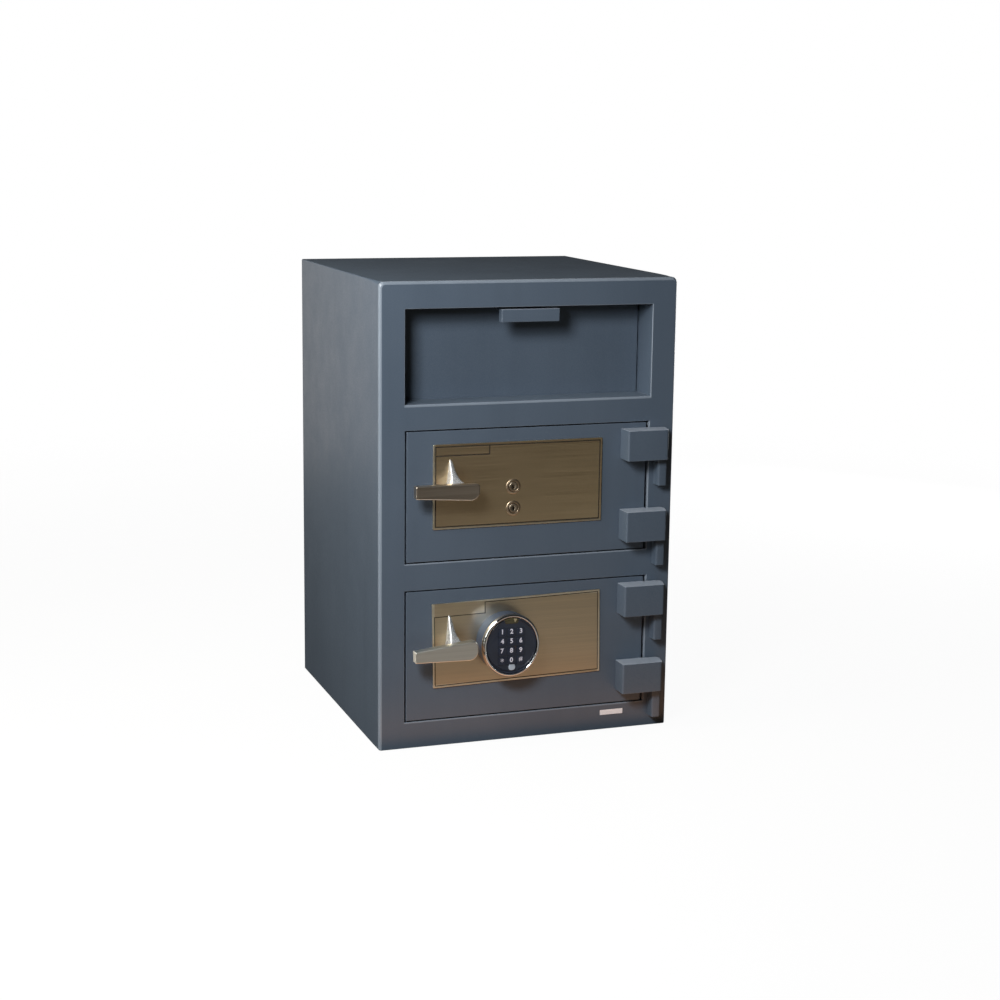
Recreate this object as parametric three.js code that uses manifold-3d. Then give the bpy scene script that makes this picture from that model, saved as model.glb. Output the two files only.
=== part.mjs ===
// Front-loading drop safe: a tilt-out deposit drawer over two hinged doors.
// Millimetres. Origin at the centre of the cabinet's underside, +X to the right as seen from
// the front, +Y to the back, +Z up. The front face is the plane y = -254.
// Shown at rest: drawer shut, both doors shut with their bolts drawn, levers level.
import * as THREE from 'three';
import { mergeVertices } from 'three/addons/utils/BufferGeometryUtils.js';
import Module from 'manifold-3d';

const wasm = await Module();
wasm.setup();

// ---------------------------------------------------------------- driving dimensions
const W = 508, D = 508, H = 762;          // cabinet, 20 x 20 x 30 in
const X0 = -W / 2, X1 = W / 2, YF = -D / 2, YB = D / 2;
const T_FRONT = 12.7;                     // front frame and door plates, 1/2 in
const T_WALL = 4.8;                       // sides, top, bottom, back, 3/16 in
const GAP = 0.3;                          // between touching pieces
const EDGE_R = 5;                         // rounded front edges
const YFB = YF + T_FRONT;                 // back face of the front frame

const DRAWER_WIN = { x0: -211, x1: 211.5, z0: 567, z1: 718.3 };
const UPPER_WIN = { x0: -211, x1: 210.5, z0: 308.8, z1: 525.5, door: 204 };
const LOWER_WIN = { x0: -211, x1: 212, z0: 44.2, z1: 264.2, door: 206 };
const DOOR_X0 = -208.8, DOOR_GAP_Z = 2.2;   // door: right edge of the door in its window

const SHELF_Z0 = 284, SHELF_T = 3.2;

// hinges: a block on the door turns on a pin that stands in a knuckle on the frame
const PIN_X = 228, PIN_Y = -265, PIN_R = 5, PIN_RISE = 38, PIN_CLEAR = 0.5;
const BLOCK_X0 = 159.5, BLOCK_OUT = 34.6, NOSE_R = 8.6;
const KNUCKLE_X0 = 220, KNUCKLE_X1 = 236, KNUCKLE_OUT = 20;
const HINGES = [
  { n: 1, z0: 464.6, z1: 515.1, k0: 419 },
  { n: 2, z0: 329.0, z1: 379.8, k0: 283.5 },
  { n: 3, z0: 202.0, z1: 254.0, k0: 155 },
  { n: 4, z0: 69.0, z1: 120.4, k0: 19.2 },
];

// trim plates and levers
const TRIM_T = 2;
const UPPER_TRIM = { x0: -164.5, x1: 126.3, z0: 363.2, z1: 501.6 };
const LOWER_TRIM = { x0: -164, x1: 128.7, z0: 101.6, z1: 242.8 };
const AXIS_X = -137.2, UPPER_AXIS_Z = 431, LOWER_AXIS_Z = 166.6;
const LEVER_OUT = 45, LEVER_T = 14, LEVER_LEFT = -70.5, LEVER_RIGHT = 38;
const LEVER_H_LEFT = 23, LEVER_H_RIGHT = 31;
const SHANK_TIP = 48, SHANK_R = 20;
const SPINDLE_R = 6;

// boltwork: a 90 degree turn of the lever throws the bolts 24 mm
const THROW = 24, CRANK_R = THROW / Math.SQRT2, CRANK_PIN_R = 3.5, SLOT_CLEAR = 0.95;
const BOLT_R = 9.5, BOLT_Y = -222.5, BOLT_END_X = -205, BOLT_SPAN = 62;
const CAM_Y0 = -239.6, CAM_Y1 = -234.6, CARRIAGE_Y0 = -232, CARRIAGE_Y1 = -228;

// key plugs and keypad
const PLUG_R = 7.6, PLUG_Z = [427.6, 391.9], PLUG_X = [-28.3, -27.8];
const PAD_X = -40, PAD_Z = 170.8, PAD_OUT = 38.5, PAD_R = 50, FACE_R = 43.2;
const KEY = 12.4, KEY_PITCH = 16, KEY_CLEAR = 0.35, KEY_TRAVEL = 1.0;

// deposit drawer: turns on a rod low behind its panel
const DRAWER_Y = -187, DRAWER_Z = 579, ROD_R = 4;
const PANEL_Y = -197, PANEL_T = 3.2, PANEL_X0 = -208.8, PANEL_X1 = 209.6;
const PANEL_Z0 = 565.4, PANEL_Z1 = 716.2;
const BIN_X0 = -206, BIN_X1 = 205.5, BIN_T = 2, BIN_R = 130.2, BIN_FLOOR = 180, BIN_SLOPE = 30;
const PULL_X0 = -50.5, PULL_X1 = 48, PULL_Z0 = 694, PULL_Z1 = 714.7, PULL_BAR = 16, PULL_T = 3.2;
const CHEEK_T = 3;

// ---------------------------------------------------------------- solids
function solid(geometry) {
  const g = new THREE.BufferGeometry();
  const src = geometry.index ? geometry.toNonIndexed() : geometry;
  g.setAttribute('position', src.getAttribute('position'));
  const m = mergeVertices(g, 1e-4);
  return new wasm.Manifold(new wasm.Mesh({
    numProp: 3,
    vertProperties: new Float32Array(m.getAttribute('position').array),
    triVerts: new Uint32Array(m.index.array),
  }));
}

function geometryOf(manifold) {
  const mesh = manifold.getMesh();
  const n = mesh.numProp;
  const pos = new Float32Array(mesh.triVerts.length * 3);
  for (let i = 0; i < mesh.triVerts.length; i++)
    for (let k = 0; k < 3; k++) pos[3 * i + k] = mesh.vertProperties[mesh.triVerts[i] * n + k];
  const g = new THREE.BufferGeometry();
  g.setAttribute('position', new THREE.BufferAttribute(pos, 3));
  g.computeVertexNormals();
  return g;
}

const unite = (...parts) => parts.reduce((a, b) => a.add(b));
const cut = (a, ...tools) => tools.reduce((m, t) => m.subtract(t), a);

function box(x0, x1, y0, y1, z0, z1) {
  const g = new THREE.BoxGeometry(x1 - x0, y1 - y0, z1 - z0);
  g.translate((x0 + x1) / 2, (y0 + y1) / 2, (z0 + z1) / 2);
  return solid(g);
}

// A shape drawn in X and Z, as seen from the front, filling y0 to y1.
function plateXZ(shape, y0, y1, bevel = 0, steps = 2) {
  const g = new THREE.ExtrudeGeometry(shape, {
    depth: y1 - y0 - 2 * bevel, bevelEnabled: bevel > 0, bevelThickness: bevel,
    bevelSize: bevel, bevelOffset: -bevel, bevelSegments: steps, curveSegments: 12,
  });
  g.translate(0, 0, bevel);
  g.rotateX(Math.PI / 2);
  g.translate(0, y1, 0);
  return solid(g);
}

// A shape drawn in X and Y, as seen from above, filling z0 to z1.
function postXY(shape, z0, z1, bevel = 0) {
  const g = new THREE.ExtrudeGeometry(shape, {
    depth: z1 - z0 - 2 * bevel, bevelEnabled: bevel > 0, bevelThickness: bevel,
    bevelSize: bevel, bevelOffset: -bevel, bevelSegments: 1, curveSegments: 10,
  });
  g.translate(0, 0, z0 + bevel);
  return solid(g);
}

// A shape drawn in Y and Z, as seen from the right, filling x0 to x1.
function profileYZ(shape, x0, x1) {
  const g = new THREE.ExtrudeGeometry(shape, { depth: x1 - x0, bevelEnabled: false, curveSegments: 12 });
  g.applyMatrix4(new THREE.Matrix4().set(
    0, 0, 1, x0,
    1, 0, 0, 0,
    0, 1, 0, 0,
    0, 0, 0, 1));
  return solid(g);
}

function polygon(points) {
  const s = new THREE.Shape();
  points.forEach(([a, b], i) => (i ? s.lineTo(a, b) : s.moveTo(a, b)));
  s.closePath();
  return s;
}

const rect = (a0, b0, a1, b1) => polygon([[a0, b0], [a1, b0], [a1, b1], [a0, b1]]);

function cylY(x, z, r, y0, y1, seg = 32) {
  const g = new THREE.CylinderGeometry(r, r, y1 - y0, seg);
  g.translate(x, (y0 + y1) / 2, z);
  return solid(g);
}

function cylX(y, z, r, x0, x1, seg = 24) {
  const g = new THREE.CylinderGeometry(r, r, x1 - x0, seg);
  g.rotateZ(-Math.PI / 2);
  g.translate((x0 + x1) / 2, y, z);
  return solid(g);
}

function cylZ(x, y, r, z0, z1, seg = 24) {
  const g = new THREE.CylinderGeometry(r, r, z1 - z0, seg);
  g.rotateX(Math.PI / 2);
  g.translate(x, y, (z0 + z1) / 2);
  return solid(g);
}

// A turned piece about an axis along Y through (x, z); the profile is [radius, y] pairs.
function turnedY(profile, x, z, seg = 48) {
  const g = new THREE.LatheGeometry(profile.map(([r, y]) => new THREE.Vector2(r, y)), seg);
  g.translate(x, 0, z);
  return solid(g);
}

// ---------------------------------------------------------------- model
const safe = new THREE.Group();

const PAINT = { color: 0x4f5b69, roughness: 0.55, metalness: 0.1 };
const PAINT_IN = { color: 0x464f5a, roughness: 0.65, metalness: 0.1 };
const BRONZE = { color: 0x7a6448, roughness: 0.35, metalness: 0.9 };
const SATIN = { color: 0x8f8673, roughness: 0.32, metalness: 1.0 };
const CHROME = { color: 0xd9dcdf, roughness: 0.08, metalness: 1.0 };
const STEEL = { color: 0x9a9c9e, roughness: 0.4, metalness: 0.95 };
const ZINC = { color: 0xa9a79c, roughness: 0.45, metalness: 0.85 };
const FACE = { color: 0x1b2230, roughness: 0.35, metalness: 0.05 };
const KEYS = { color: 0x222a3c, roughness: 0.5, metalness: 0.0 };

function add(name, manifold, finish) {
  const mesh = new THREE.Mesh(geometryOf(manifold), new THREE.MeshStandardMaterial(finish));
  mesh.name = name;
  safe.add(mesh);
  return mesh;
}

// ---- cabinet
{
  const win = (w) => box(w.x0, w.x1, YF - 5, YFB + 5, w.z0, w.z1);
  const slab = plateXZ(rect(X0, 0, X1, H), YF, YFB + 12, EDGE_R, 3);
  add('front_frame', cut(slab, box(X0 - 1, X1 + 1, YFB, YFB + 20, -1, H + 1),
    win(DRAWER_WIN), win(UPPER_WIN), win(LOWER_WIN)), PAINT);
}
add('left_side', box(X0, X0 + T_WALL, YFB + GAP, YB, 0, H), PAINT);
add('right_side', box(X1 - T_WALL, X1, YFB + GAP, YB, 0, H), PAINT);
const IX0 = X0 + T_WALL + GAP, IX1 = X1 - T_WALL - GAP;
add('top_plate', box(IX0, IX1, YFB + GAP, YB, H - T_WALL, H), PAINT);
add('bottom_plate', box(IX0, IX1, YFB + GAP, YB, 0, T_WALL), PAINT);
add('back_plate', box(IX0, IX1, YB - T_WALL, YB, T_WALL + GAP, H - T_WALL - GAP), PAINT);
add('partition_shelf', box(IX0, IX1, YFB + GAP, YB - T_WALL - GAP, SHELF_Z0, SHELF_Z0 + SHELF_T), PAINT_IN);

// ---- housing of the deposit drawer
{
  const rodHole = cylX(DRAWER_Y, DRAWER_Z, ROD_R + 0.5, -230, 230);
  const cheek = polygon([[YFB + GAP, 556], [YFB + GAP, H - T_WALL - GAP], [-33.5, H - T_WALL - GAP],
    [-33.5, 690], [-20, 650], [-20, 520], [-60, 480], [-120, 480]]);
  add('drawer_cheek_left', cut(profileYZ(cheek, DRAWER_WIN.x0 - 0.5 - CHEEK_T, DRAWER_WIN.x0 - 0.5), rodHole), PAINT);
  add('drawer_cheek_right', cut(profileYZ(cheek, DRAWER_WIN.x1 + 0.5, DRAWER_WIN.x1 + 0.5 + CHEEK_T), rodHole), PAINT);
  add('drawer_sill', unite(
    box(DRAWER_WIN.x0 - 0.2, DRAWER_WIN.x1 + 0.2, YFB + GAP, PANEL_Y - 0.6, DRAWER_WIN.z0 - CHEEK_T, DRAWER_WIN.z0),
    box(DRAWER_WIN.x0 - 0.2, DRAWER_WIN.x1 + 0.2, YFB + GAP, YFB + GAP + CHEEK_T, 540, DRAWER_WIN.z0 - 1)), PAINT);
  add('drawer_roof', unite(
    box(DRAWER_WIN.x0 - 0.2, DRAWER_WIN.x1 + 0.2, YFB + GAP, -188, DRAWER_WIN.z1 + 0.5, DRAWER_WIN.z1 + 0.5 + CHEEK_T),
    box(DRAWER_WIN.x0 - 0.2, DRAWER_WIN.x1 + 0.2, -191, -188, DRAWER_WIN.z1 + 1, H - T_WALL - GAP)), PAINT);
  // baffle with a saw-toothed lower edge, hanging behind the swing of the drawer's floor
  const teeth = [];
  const n = 20, x0 = DRAWER_WIN.x0 - 0.2, x1 = DRAWER_WIN.x1 + 0.2, pitch = (x1 - x0) / n;
  teeth.push([x0, H - T_WALL - GAP], [x0, 706]);
  for (let i = 0; i < n; i++) teeth.push([x0 + (i + 0.5) * pitch, 694], [x0 + (i + 1) * pitch, 706]);
  teeth.push([x1, H - T_WALL - GAP]);
  add('drawer_baffle', plateXZ(polygon(teeth), -36.8, -33.8), PAINT_IN);
}

// ---- hinge knuckles on the frame, each with its pin
for (const h of HINGES) {
  const y0 = YF - KNUCKLE_OUT, y1 = YF - GAP, c = 3;
  const plan = polygon([[KNUCKLE_X0, y1], [KNUCKLE_X0, y0 + c], [KNUCKLE_X0 + 0.9, y0 + 0.9], [KNUCKLE_X0 + c, y0],
    [KNUCKLE_X1 - c, y0], [KNUCKLE_X1 - 0.9, y0 + 0.9], [KNUCKLE_X1, y0 + c], [KNUCKLE_X1, y1]]);
  add(`hinge_knuckle_${h.n}`, unite(
    postXY(plan, h.k0, h.z0 - 0.6, 0.8),
    cylZ(PIN_X, PIN_Y, PIN_R, h.z0 - 5, h.z0 + PIN_RISE, 24)), PAINT);
}

// ---- doors
function hingeBlock(h) {
  const yo = YF - BLOCK_OUT, plan = new THREE.Shape();
  plan.moveTo(BLOCK_X0, YF - GAP);
  plan.lineTo(BLOCK_X0, yo + 3);
  plan.quadraticCurveTo(BLOCK_X0, yo, BLOCK_X0 + 3, yo);
  plan.lineTo(227.3, yo);
  plan.quadraticCurveTo(231.1, yo, 231.6, yo + 4);
  plan.lineTo(PIN_X + NOSE_R, PIN_Y);
  plan.absarc(PIN_X, PIN_Y, NOSE_R, 0, Math.PI / 2, false);
  plan.lineTo(208, PIN_Y + NOSE_R);
  plan.lineTo(203.5, YF - GAP);
  plan.closePath();
  return cut(postXY(plan, h.z0, h.z1, 0.8),
    cylZ(PIN_X, PIN_Y, PIN_R + PIN_CLEAR, h.z0 - 5, h.z0 + PIN_RISE + 2, 24));
}

function doorPlate(win, holes) {
  const z0 = win.z0 + DOOR_GAP_Z, z1 = win.z1 - DOOR_GAP_Z;
  return cut(plateXZ(rect(DOOR_X0, z0, win.door, z1), YF, YFB, 1, 1), ...holes);
}

// L section that hooks behind the frame on the hinge side
function deadBar(z0, z1) {
  return postXY(polygon([[188, YFB + GAP], [196, YFB + GAP], [196, -234], [225, -234], [225, -226], [188, -226]]), z0, z1);
}

// angle that carries the round bolts
function boltGuide(axisZ) {
  const z0 = axisZ - BOLT_SPAN - 24, z1 = axisZ + BOLT_SPAN + 24;
  const hole = (z) => cylX(BOLT_Y, z, BOLT_R + 0.5, -210, -180, 32);
  return cut(postXY(polygon([[-197, YFB + GAP], [-172, YFB + GAP], [-172, YFB + 4], [-192, YFB + 4], [-192, -206], [-197, -206]]), z0, z1),
    hole(axisZ - BOLT_SPAN), hole(axisZ + BOLT_SPAN));
}

// flat carriage with two round bolts and the slot for the crank pin
function boltCarriage(axisZ) {
  const px = AXIS_X + THROW / 2, half = CRANK_PIN_R + SLOT_CLEAR;
  const plate = plateXZ(rect(-152, axisZ - BOLT_SPAN - 13, -110, axisZ + BOLT_SPAN + 13), CARRIAGE_Y0, CARRIAGE_Y1);
  const slot = box(px - half, px + half, CARRIAGE_Y0 - 2, CARRIAGE_Y1 + 2,
    axisZ + THROW / 2 - half, axisZ + CRANK_R + half);
  const bolt = (z) => cylX(BOLT_Y, z, BOLT_R, BOLT_END_X, -130, 32);
  return cut(unite(plate, bolt(axisZ - BOLT_SPAN), bolt(axisZ + BOLT_SPAN)), slot);
}

function spindle(axisZ) {
  const cam = new THREE.Shape();
  cam.absarc(0, 0, 13, Math.PI * 0.95, Math.PI * 1.55, false);
  cam.absarc(THROW / 2, THROW / 2, 7.5, -Math.PI * 0.25, Math.PI * 0.75, false);
  cam.closePath();
  const shape = new THREE.Shape(cam.getPoints(10).map((p) => new THREE.Vector2(p.x + AXIS_X, p.y + axisZ)));
  return unite(
    cylY(AXIS_X, axisZ, SPINDLE_R, YF - TRIM_T - GAP, CAM_Y1 - 1),
    plateXZ(shape, CAM_Y0, CAM_Y1),
    cylY(AXIS_X + THROW / 2, axisZ + THROW / 2, CRANK_PIN_R, CAM_Y1 - 1, CARRIAGE_Y1 + 2, 20));
}

// polished shank: a flared root that runs up the plate to a point and narrows out to the lever
function shank(axisZ) {
  const rings = 7, around = 36, yBase = YF - TRIM_T - 2 * GAP, yTop = YF - LEVER_OUT + LEVER_T + GAP;
  const g = new THREE.CylinderGeometry(1, 1, 1, around, rings);
  const p = g.getAttribute('position');
  for (let i = 0; i < p.count; i++) {
    const s = p.getY(i) + 0.5, a = Math.atan2(p.getZ(i), p.getX(i)), m = Math.hypot(p.getX(i), p.getZ(i));
    const c = Math.cos(a), q = Math.sin(a);
    const rx = c > 0 ? SHANK_R + (LEVER_RIGHT - 4 - SHANK_R) * Math.pow(s, 1.4) : SHANK_R - 7 * s;
    const rz = SHANK_R - 8 * s;
    const spike = q > 0 ? (SHANK_TIP - SHANK_R) * Math.pow(1 - s, 1.6) * Math.pow(q, 8) : 0;
    p.setXYZ(i, AXIS_X + m * rx * c, yBase + (yTop - yBase) * s, axisZ + m * (rz * q + spike));
  }
  // the outline runs the other way once y points away from the viewer, so turn the faces round
  const idx = g.index.array;
  for (let i = 0; i < idx.length; i += 3) [idx[i], idx[i + 1]] = [idx[i + 1], idx[i]];
  return solid(g);
}

function lever(axisZ) {
  const s = new THREE.Shape(), hl = LEVER_H_LEFT / 2, hr = LEVER_H_RIGHT / 2, r1 = 14, r2 = 9;
  const x = (v) => AXIS_X + v, z = (v) => axisZ + v;
  s.moveTo(x(LEVER_LEFT), z(hl));
  s.lineTo(x(LEVER_LEFT), z(-hl));
  s.lineTo(x(LEVER_RIGHT - r1), z(-hr));
  s.quadraticCurveTo(x(LEVER_RIGHT - 1), z(-hr), x(LEVER_RIGHT), z(-hr + r1));
  s.lineTo(x(LEVER_RIGHT), z(hr - r2));
  s.quadraticCurveTo(x(LEVER_RIGHT), z(hr), x(LEVER_RIGHT - r2), z(hr));
  s.closePath();
  return plateXZ(s, YF - LEVER_OUT, YF - LEVER_OUT + LEVER_T, 1.8, 2);
}

function trimPlate(t, holes) {
  return cut(plateXZ(rect(t.x0, t.z0, t.x1, t.z1), YF - GAP - TRIM_T, YF - GAP), ...holes);
}

const deep = (x, z, r) => cylY(x, z, r, YF - 20, YFB + 20, 32);

// upper door, two key locks
{
  const plugs = [0, 1];
  add('upper_door_plate', doorPlate(UPPER_WIN, [deep(AXIS_X, UPPER_AXIS_Z, SPINDLE_R + 0.6),
    ...plugs.map((i) => deep(PLUG_X[i], PLUG_Z[i], PLUG_R + 0.5))]), PAINT);
  add('hinge_block_1', hingeBlock(HINGES[0]), PAINT);
  add('hinge_block_2', hingeBlock(HINGES[1]), PAINT);
  add('upper_trim_plate', trimPlate(UPPER_TRIM, [deep(AXIS_X, UPPER_AXIS_Z, SPINDLE_R + 0.6),
    ...plugs.map((i) => deep(PLUG_X[i], PLUG_Z[i], PLUG_R + 0.5))]), BRONZE);
  add('upper_dead_bar', deadBar(328, 505), PAINT_IN);
  add('upper_bolt_guide', boltGuide(UPPER_AXIS_Z), PAINT_IN);
  add('upper_lock_case', box(-62, 6, YFB + GAP, -214, 372, 449), ZINC);
  add('upper_handle_spindle', spindle(UPPER_AXIS_Z), STEEL);
  add('upper_handle_shank', shank(UPPER_AXIS_Z), CHROME);
  add('upper_handle_lever', lever(UPPER_AXIS_Z), SATIN);
  add('upper_boltwork', boltCarriage(UPPER_AXIS_Z), STEEL);
  plugs.forEach((i) => {
    const x = PLUG_X[i], z = PLUG_Z[i], y0 = YF - TRIM_T - 1.6;
    add(`key_plug_${i + 1}`, cut(cylY(x, z, PLUG_R, y0, YFB - 0.3, 36),
      box(x - 0.9, x + 0.9, y0 - 1, y0 + 9, z - 4.2, z + 4.2)), CHROME);
  });
}

// lower door, keypad lock
{
  add('lower_door_plate', doorPlate(LOWER_WIN, [deep(AXIS_X, LOWER_AXIS_Z, SPINDLE_R + 0.6)]), PAINT);
  add('hinge_block_3', hingeBlock(HINGES[2]), PAINT);
  add('hinge_block_4', hingeBlock(HINGES[3]), PAINT);
  add('lower_trim_plate', trimPlate(LOWER_TRIM, [deep(AXIS_X, LOWER_AXIS_Z, SPINDLE_R + 0.6)]), BRONZE);
  add('lower_dead_bar', deadBar(64, 244), PAINT_IN);
  add('lower_bolt_guide', boltGuide(LOWER_AXIS_Z), PAINT_IN);
  add('lower_lock_case', box(-76, -2, YFB + GAP, -212, 130, 208), ZINC);
  add('lower_handle_spindle', spindle(LOWER_AXIS_Z), STEEL);
  add('lower_handle_shank', shank(LOWER_AXIS_Z), CHROME);
  add('lower_handle_lever', lever(LOWER_AXIS_Z), SATIN);
  add('lower_boltwork', boltCarriage(LOWER_AXIS_Z), STEEL);

  const yPlate = YF - GAP - TRIM_T - GAP, yRim = YF - PAD_OUT, yFace = yRim + 3;
  const keys = [];
  for (let row = 0; row < 4; row++)
    for (let col = 0; col < 3; col++)
      keys.push({ x: PAD_X + (col - 1) * KEY_PITCH, z: PAD_Z + (1.5 - row) * KEY_PITCH - 2 });
  const pocket = (k) => box(k.x - KEY / 2 - KEY_CLEAR, k.x + KEY / 2 + KEY_CLEAR, yFace - 1, yFace + 2.6 + KEY_TRAVEL,
    k.z - KEY / 2 - KEY_CLEAR, k.z + KEY / 2 + KEY_CLEAR);
  add('keypad_core', cut(turnedY([[0, yFace], [FACE_R - 0.8, yFace], [FACE_R, yFace + 0.8], [FACE_R, yPlate], [0, yPlate]], PAD_X, PAD_Z),
    ...keys.map(pocket)), FACE);
  const ri = FACE_R + 0.6;
  add('keypad_ring', turnedY([[ri, yPlate], [ri, yRim + 1.5], [ri + 0.5, yRim + 0.4], [ri + 1.6, yRim],
    [PAD_R - 3.4, yRim + 0.5], [PAD_R - 1.6, yRim + 2.6], [PAD_R - 0.7, yRim + 6.5], [PAD_R - 0.2, yRim + 14],
    [PAD_R, yPlate - 3], [PAD_R, yPlate], [ri, yPlate]], PAD_X, PAD_Z, 60), CHROME);
  const names = ['1', '2', '3', '4', '5', '6', '7', '8', '9', 'star', '0', 'hash'];
  keys.forEach((k, i) => {
    const r = 2, s = new THREE.Shape(), a = k.x - KEY / 2, b = k.z - KEY / 2, c = a + KEY, d = b + KEY;
    s.moveTo(a + r, b); s.lineTo(c - r, b); s.quadraticCurveTo(c, b, c, b + r);
    s.lineTo(c, d - r); s.quadraticCurveTo(c, d, c - r, d); s.lineTo(a + r, d);
    s.quadraticCurveTo(a, d, a, d - r); s.lineTo(a, b + r); s.quadraticCurveTo(a, b, a + r, b);
    const g = new THREE.ExtrudeGeometry(s, { depth: 2.6, bevelEnabled: true, bevelThickness: 0.4, bevelSize: 0.4, bevelOffset: -0.4, bevelSegments: 1, curveSegments: 3 });
    g.translate(0, 0, 0.4);
    g.rotateX(Math.PI / 2);
    g.translate(0, yFace + 2.1, 0);
    add(`key_${names[i]}`, solid(g), KEYS);
  });
}

// ---- deposit drawer
{
  add('drawer_panel', plateXZ(rect(PANEL_X0, PANEL_Z0, PANEL_X1, PANEL_Z1), PANEL_Y, PANEL_Y + PANEL_T, 0.8, 1), PAINT);
  add('drawer_pull', unite(
    plateXZ(rect(PULL_X0, PULL_Z0, PULL_X1, PULL_Z1), YF, YF + PULL_BAR, 1.2, 2),
    box(PULL_X0 + 1.5, PULL_X1 - 1.5, YF + PULL_BAR - 3, PANEL_Y - GAP, PULL_Z1 - PULL_T, PULL_Z1)), PAINT);

  // folded bin: front leg behind the panel, sloping floor, two sector sides
  const a = BIN_SLOPE * Math.PI / 180, d = [Math.cos(a), -Math.sin(a)], n = [Math.sin(a), Math.cos(a)];
  const on = (t, off) => [DRAWER_Y + t * d[0] - off * n[0], DRAWER_Z + t * d[1] - off * n[1]];
  const uIn = PANEL_Y + PANEL_T + GAP + BIN_T, uOut = PANEL_Y + PANEL_T + GAP;
  const c = ROD_R + 0.6;
  const atY = (y, off) => { const t = (y - DRAWER_Y + off * n[0]) / d[0]; return on(t, off); };
  const fold = polygon([atY(uOut, c + BIN_T), on(BIN_FLOOR, c + BIN_T), on(BIN_FLOOR, c), atY(uIn, c),
    [uIn, DRAWER_Z + 130], [uOut, DRAWER_Z + 130]]);
  const arc = [];
  const first = on(Math.sqrt(BIN_R * BIN_R - (c + BIN_T) ** 2), c + BIN_T);
  const a0 = Math.atan2(first[1] - DRAWER_Z, first[0] - DRAWER_Y), a1 = Math.atan2(130, uOut - DRAWER_Y);
  for (let i = 0; i <= 24; i++) {
    const t = a0 + (a1 - a0) * i / 24;
    arc.push([DRAWER_Y + BIN_R * Math.cos(t), DRAWER_Z + BIN_R * Math.sin(t)]);
  }
  const side = polygon([atY(uOut, c + BIN_T), ...arc]);
  add('drawer_bin', cut(unite(
    profileYZ(fold, BIN_X0, BIN_X1),
    profileYZ(side, BIN_X0, BIN_X0 + BIN_T),
    profileYZ(side, BIN_X1 - BIN_T, BIN_X1)), cylX(DRAWER_Y, DRAWER_Z, ROD_R + 0.35, -230, 230)), STEEL);
  add('drawer_rod', cylX(DRAWER_Y, DRAWER_Z, ROD_R, -218, 218.5), STEEL);
}

export default safe;
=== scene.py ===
import math

import bmesh
import bpy
from mathutils import Matrix, Vector

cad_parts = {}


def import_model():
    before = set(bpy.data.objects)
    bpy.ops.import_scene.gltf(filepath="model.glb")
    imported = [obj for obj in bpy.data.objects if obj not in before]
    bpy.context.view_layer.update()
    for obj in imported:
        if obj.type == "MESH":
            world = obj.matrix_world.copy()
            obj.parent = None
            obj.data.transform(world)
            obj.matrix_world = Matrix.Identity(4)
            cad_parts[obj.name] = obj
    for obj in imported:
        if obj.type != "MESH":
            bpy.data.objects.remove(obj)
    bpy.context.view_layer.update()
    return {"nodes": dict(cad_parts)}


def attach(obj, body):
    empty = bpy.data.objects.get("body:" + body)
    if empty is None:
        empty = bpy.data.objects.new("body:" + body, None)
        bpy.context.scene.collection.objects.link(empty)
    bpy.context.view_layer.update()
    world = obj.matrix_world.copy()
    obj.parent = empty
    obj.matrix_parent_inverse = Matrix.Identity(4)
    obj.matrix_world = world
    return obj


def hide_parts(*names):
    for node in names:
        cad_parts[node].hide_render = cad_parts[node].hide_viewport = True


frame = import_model()
NODES = frame["nodes"]
MM = 0.001
scene = bpy.context.scene
scene.view_settings.view_transform = "Standard"

# ------------------------------------------------------------------ sizes, as in the frame
X0, X1, YF, YB, H = -254.0, 254.0, -254.0, 254.0, 762.0
YFB = -241.3
DRAWER_WIN = (-211.0, 211.5, 567.0, 718.3)
UPPER_WIN = (-211.0, 210.5, 308.8, 525.5)
LOWER_WIN = (-211.0, 212.0, 44.2, 264.2)
PANEL_Y = -197.0
UPPER_TRIM = (-164.5, 126.3, 363.2, 501.6)
LOWER_TRIM = (-164.0, 128.7, 101.6, 242.8)
TRIM_Y0, TRIM_Y1 = -256.3, -254.3
AXIS_X, UPPER_AXIS, LOWER_AXIS = -137.2, 431.0, 166.6
PLUGS = ((-28.3, 427.6), (-27.8, 391.9))
PAD_X, PAD_Z = -40.0, 170.8
PAD_FACE_Y, PAD_RIM_Y, PAD_BASE_Y = -289.5, -292.5, -256.6

# ------------------------------------------------------------------ camera, at the photograph's angle
AZ, EL, ROLL = math.radians(-19.51), math.radians(11.114), math.radians(0.71)


def add_camera():
    back = Vector((math.sin(AZ) * math.cos(EL), -math.cos(AZ) * math.cos(EL), math.sin(EL)))
    right = (-back).cross(Vector((0, 0, 1))).normalized()
    painted_light_upper = right.cross(-back).normalized()
    cx = right * math.cos(ROLL) + painted_light_upper * math.sin(ROLL)
    cy = -right * math.sin(ROLL) + painted_light_upper * math.cos(ROLL)
    data = bpy.data.cameras.new("camera")
    data.sensor_fit = "HORIZONTAL"
    data.sensor_width = 36.0
    data.lens = 1926.27 / 1000 * 36.0
    data.clip_start, data.clip_end = 0.05, 100.0
    cam = bpy.data.objects.new("camera", data)
    scene.collection.objects.link(cam)
    m = Matrix.Identity(4)
    for i in range(3):
        m[i][0], m[i][1], m[i][2] = cx[i], cy[i], back[i]
    m[0][3], m[1][3], m[2][3] = -1.07389, -3.14346, 1.00813
    cam.matrix_world = m
    scene.camera = cam


add_camera()


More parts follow.
